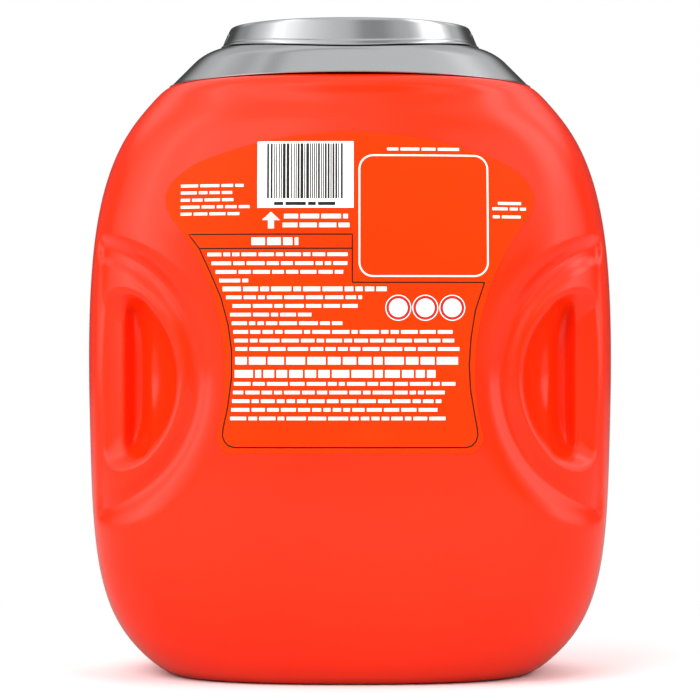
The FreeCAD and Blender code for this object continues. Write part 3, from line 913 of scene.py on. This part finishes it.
def silverPlastic(name, satin, roughLow, roughHigh):
    # silver-pigmented polypropylene: it mirrors the room softly, as metal flake does; the flake is
    # drawn at about 0.4 mm, coarser than real, so that it shows, and the gloss wanders over 45 mm
    material, tree = newMaterial(name)
    flake, cloud = cloudy(tree, 2600.0, 2.0), cloudy(tree, 22.0, 2.0)
    tone = mixTones(tree, flake, "C6C7C9", "D4D5D6")
    rough = addNode(tree, "ShaderNodeMapRange", {3: roughLow, 4: roughHigh}, {0: (cloud, 0)})
    grain = addNode(tree, "ShaderNodeBump", {"Strength": satin, "Distance": 0.1 * mm}, {"Height": (flake, 0)})
    shader = addNode(tree, "ShaderNodeBsdfPrincipled", {"Metallic": 1.0},
                     {"Base Color": (tone, 2), "Roughness": (rough, 0), "Normal": (grain, 0)})
    addNode(tree, "ShaderNodeOutputMaterial", links={"Surface": (shader, 0)})
    return material


def filmPlastic():
    # in-mould label film: flatter in gloss than the moulded wall, so that it looks more orange, with
    # slight clouds of about 33 mm
    material, tree = newMaterial("labelFilm")
    cloud = cloudy(tree, 30.0, 3.0)
    tone = mixTones(tree, cloud, "F93200", "FD3900")
    rough = addNode(tree, "ShaderNodeMapRange", {3: 0.42, 4: 0.5}, {0: (cloud, 0)})
    shader = addNode(tree, "ShaderNodeBsdfPrincipled", {"Specular IOR Level": 0.1},
                     {"Base Color": (tone, 2), "Roughness": (rough, 0)})
    addNode(tree, "ShaderNodeOutputMaterial", links={"Surface": (shader, 0)})
    return material


def printInk(name, low, high):
    # printing ink on the label film: a dull coat, a little uneven over about 4 mm
    material, tree = newMaterial(name)
    tone = mixTones(tree, cloudy(tree, 260.0, 2.0), low, high)
    shader = addNode(tree, "ShaderNodeBsdfPrincipled", {"Roughness": 0.45, "Specular IOR Level": 0.25},
                     {"Base Color": (tone, 2)})
    addNode(tree, "ShaderNodeOutputMaterial", links={"Surface": (shader, 0)})
    return material


dress(tubShell, tubPlastic(), "tub", "tub", "tub")
dress(collarShell, silverPlastic("satinSilverPlastic", 0.015, 0.13, 0.16), "collar", "tub", "collar")
polished = silverPlastic("polishedSilverPlastic", 0.008, 0.08, 0.10)
dress(lidShell, polished, "lid", "lid", "lid")
dress(latchRight, polished, "latch", "latch_right", "latch_right")
dress(latchLeft, polished, "latch", "latch_left", "latch_left")
dress(panelFilm, filmPlastic(), "panel", "tub", "back_panel")
dress(lightPrint, printInk("lightInk", "FFEDE4", "FFF8F2"), "panel", "tub")
dress(whiteBlock, printInk("whiteInk", "FBFBFA", "FFFFFF"), "panel", "tub")
dress(stripes, printInk("greyInk", "1C1B1B", "2B2929"), "panel", "tub")
dress(redRings, printInk("redInk", "BE1D18", "CB2A20"), "panel", "tub")
dress(darkLine, printInk("brownInk", "3A1405", "451A08"), "panel", "tub")
print("dressed")


# floor, room, lights and camera: places in metres

studio = {
    "floorRadius": 6.0, "floorDrop": 0.0002, "shadowNear": 0.10, "shadowFar": 0.36,
    # the walls' brightness by direction, in degrees from the photo's side towards +X: what the
    # lid mirrors
    "walls": [
        (-180, 0.50), (-148, 0.58), (-140, 0.74), (-133, 0.64), (-124, 0.48), (-112, 0.68), (-100, 0.95),
        (-93, 1.25), (-87, 1.65), (-81, 1.85), (-75, 1.52), (-66, 1.38), (-54, 1.12), (-38, 0.91),
        (-20, 0.77), (-5, 0.70), (2, 0.62), (9, 0.50), (16, 0.39), (28, 0.36), (39, 0.38), (56, 0.57),
        (70, 0.66), (78, 0.95), (84, 1.55), (90, 2.00), (107, 1.85), (113, 1.15), (121, 0.74), (133, 1.05),
        (145, 0.66), (180, 0.50),
    ],
    # the same lower down: what the tub mirrors
    "lowWalls": [
        (-180, 0.06), (-125, 0.10), (-100, 0.90), (-80, 1.90), (-62, 1.50), (-42, 0.62), (-20, 0.42),
        (-4, 0.32), (10, 0.12), (50, 0.10), (64, 0.60), (80, 1.80), (98, 1.10), (122, 0.10), (180, 0.06),
    ],
    "brightest": 2.5, "ceiling": 0.76, "wallsFrom": (0.30, 0.56), "ceilingFrom": (0.80, 0.90),
    "seamY": 0.17, "seamHalf": (0.015, 0.06), "seamTone": 0.55, "seamEnd": 0.2,
    "target": (0, 0, 0.13),
    # degrees round from the photo's side, degrees up, distance, width, height, watts
    "fills": {
        "leftFill": (-32, 34, 1.8, 1.4, 1.0, 26), "rightFill": (46, 26, 1.8, 1.2, 1.0, 15),
        "backFill": (176, 38, 1.9, 1.4, 1.0, 17),
    },
    "camera": (0.0, -1.241, 0.130), "sensor": 36.0, "lens": 156.8,        # the last two in millimetres
}
white = (1.0, 1.0, 1.0, 1.0)


def makeFloor():
    # pale, with the tub's shadow near it and fading to white away from it
    deselectAll()
    bpy.ops.mesh.primitive_circle_add(vertices=96, radius=studio["floorRadius"], fill_type="NGON",
                                      location=(0, 0, -studio["floorDrop"]))
    floor = bpy.context.object
    floor.name = "studioFloor"
    material, tree = newMaterial("paleFloor")
    place = addNode(tree, "ShaderNodeTexCoord")
    away = addNode(tree, "ShaderNodeVectorMath", {"operation": "LENGTH"}, {0: (place, "Object")})
    near, far = studio["shadowNear"], studio["shadowFar"]
    fade = addNode(tree, "ShaderNodeMapRange", {"interpolation_type": "SMOOTHSTEP", 1: near, 2: far},
                   {0: (away, "Value")})
    ray = addNode(tree, "ShaderNodeLightPath")
    seen = addNode(tree, "ShaderNodeMath", {"operation": "MULTIPLY"},
                   {0: (fade, 0), 1: (ray, "Is Camera Ray")})
    # painted shade: greyer in the light it bounces and greyer still in mirror images than the camera sees it,
    # so that the tub's foot is darker and keeps its colour
    dimmedBounceTone = mixTones(tree, ray, "D8D4D2", "8E8B89", "Is Glossy Ray")
    pale = addNode(tree, "ShaderNodeMix", {"data_type": "RGBA", 7: toLinear("F2F2F2")},
                   {0: (ray, "Is Camera Ray"), 6: (dimmedBounceTone, 2)})
    matte = addNode(tree, "ShaderNodeBsdfDiffuse", links={"Color": (pale, 2)})
    glow = addNode(tree, "ShaderNodeEmission", {"Color": white, "Strength": 1.0})
    mix = addNode(tree, "ShaderNodeMixShader", links={0: (seen, 0), 1: (matte, 0), 2: (glow, 0)})
    addNode(tree, "ShaderNodeOutputMaterial", links={"Surface": (mix, 0)})
    floor.data.materials.append(material)


def tonesRound(tree, turn, tones):
    # brightness by the turn of direction, as a share of a full circle
    ramp = addNode(tree, "ShaderNodeValToRGB", links={0: (turn, 0)})
    stops = ramp.color_ramp.elements
    while len(stops) < len(tones):
        stops.new(0.5)
    for stop, (angle, tone) in zip(stops, tones):
        stop.position = (angle + 180) / 360
    for stop, (angle, tone) in zip(stops, tones):
        stop.color = (*[tone / studio["brightest"]] * 3, 1.0)
    return addNode(tree, "ShaderNodeMath", {"operation": "MULTIPLY", 1: studio["brightest"]}, {0: (ramp, 0)})


def risen(tree, height, span):
    return addNode(tree, "ShaderNodeMapRange", {"interpolation_type": "SMOOTHSTEP", 1: span[0], 2: span[1]},
                   {0: (height, "Z")})


def makeRoom():
    world = bpy.data.worlds.new("studio")
    bpy.context.scene.world = world
    world.use_nodes = True
    tree = world.node_tree
    tree.nodes.clear()
    place = addNode(tree, "ShaderNodeTexCoord")
    split = addNode(tree, "ShaderNodeSeparateXYZ", links={0: (place, "Generated")})
    ahead = addNode(tree, "ShaderNodeMath", {"operation": "MULTIPLY", 1: -1.0}, {0: (split, "Y")})
    turn = addNode(tree, "ShaderNodeMath", {"operation": "ARCTAN2"}, {0: (split, "X"), 1: (ahead, 0)})
    share = addNode(tree, "ShaderNodeMapRange", {1: -math.pi, 2: math.pi}, {0: (turn, 0)})
    walls = tonesRound(tree, share, studio["walls"])
    lowWalls = tonesRound(tree, share, studio["lowWalls"])
    raised = risen(tree, split, studio["wallsFrom"])
    around = addNode(tree, "ShaderNodeMix", links={0: (raised, 0), 2: (lowWalls, 0), 3: (walls, 0)})
    # a darker seam across part of the ceiling, which the dome mirrors as a thin arc
    across = addNode(tree, "ShaderNodeMath", {"operation": "SUBTRACT", 1: studio["seamY"]}, {0: (split, "Y")})
    width = addNode(tree, "ShaderNodeMath", {"operation": "ABSOLUTE"}, {0: (across, 0)})
    near, far = studio["seamHalf"]
    seam = addNode(tree, "ShaderNodeMapRange", {1: near, 2: far, 3: studio["seamTone"], 4: 1.0},
                   {0: (width, 0)})
    ended = addNode(tree, "ShaderNodeMapRange", {1: 0.0, 2: studio["seamEnd"]}, {0: (split, "X")})
    shaded = addNode(tree, "ShaderNodeMix", {3: 1.0}, {0: (ended, 0), 2: (seam, 0)})
    ceiling = addNode(tree, "ShaderNodeMath", {"operation": "MULTIPLY", 1: studio["ceiling"]},
                      {0: (shaded, 0)})
    high = risen(tree, split, studio["ceilingFrom"])
    whole = addNode(tree, "ShaderNodeMix", links={0: (high, 0), 2: (around, 0), 3: (ceiling, 0)})
    room = addNode(tree, "ShaderNodeBackground", {"Color": white}, {"Strength": (whole, 0)})
    backdrop = addNode(tree, "ShaderNodeBackground", {"Color": white, "Strength": 1.0})
    ray = addNode(tree, "ShaderNodeLightPath")
    mix = addNode(tree, "ShaderNodeMixShader",
                  links={0: (ray, "Is Camera Ray"), 1: (room, 0), 2: (backdrop, 0)})
    addNode(tree, "ShaderNodeOutputWorld", links={"Surface": (mix, 0)})


def fillLight(name, azimuth, rise, distance, wide, tall, power):
    # a broad soft lamp without a mirror image of its own
    a, e = math.radians(azimuth), math.radians(rise)
    target = Vector(studio["target"])
    spot = target + distance * Vector((math.sin(a) * math.cos(e), -math.cos(a) * math.cos(e), math.sin(e)))
    light = bpy.data.lights.new(name, "AREA")
    light.shape, light.size, light.size_y, light.energy = "RECTANGLE", wide, tall, power
    lamp = bpy.data.objects.new(name, light)
    bpy.context.scene.collection.objects.link(lamp)
    lamp.location = spot
    lamp.rotation_euler = (target - spot).to_track_quat("-Z", "Y").to_euler()
    lamp.visible_glossy = False


def makeCamera():
    view = bpy.data.cameras.new("photoCamera")
    view.sensor_width, view.lens = studio["sensor"], studio["lens"]
    camera = bpy.data.objects.new("photoCamera", view)
    bpy.context.scene.collection.objects.link(camera)
    camera.location = studio["camera"]
    camera.rotation_euler = (math.pi / 2, 0.0, 0.0)
    bpy.context.scene.camera = camera


makeFloor()
makeRoom()
for name, settings in studio["fills"].items():
    fillLight(name, *settings)
makeCamera()
bpy.context.scene.view_settings.view_transform = "Standard"
bpy.context.scene.view_settings.look = "None"
print("studio set")

bpy.context.view_layer.update()
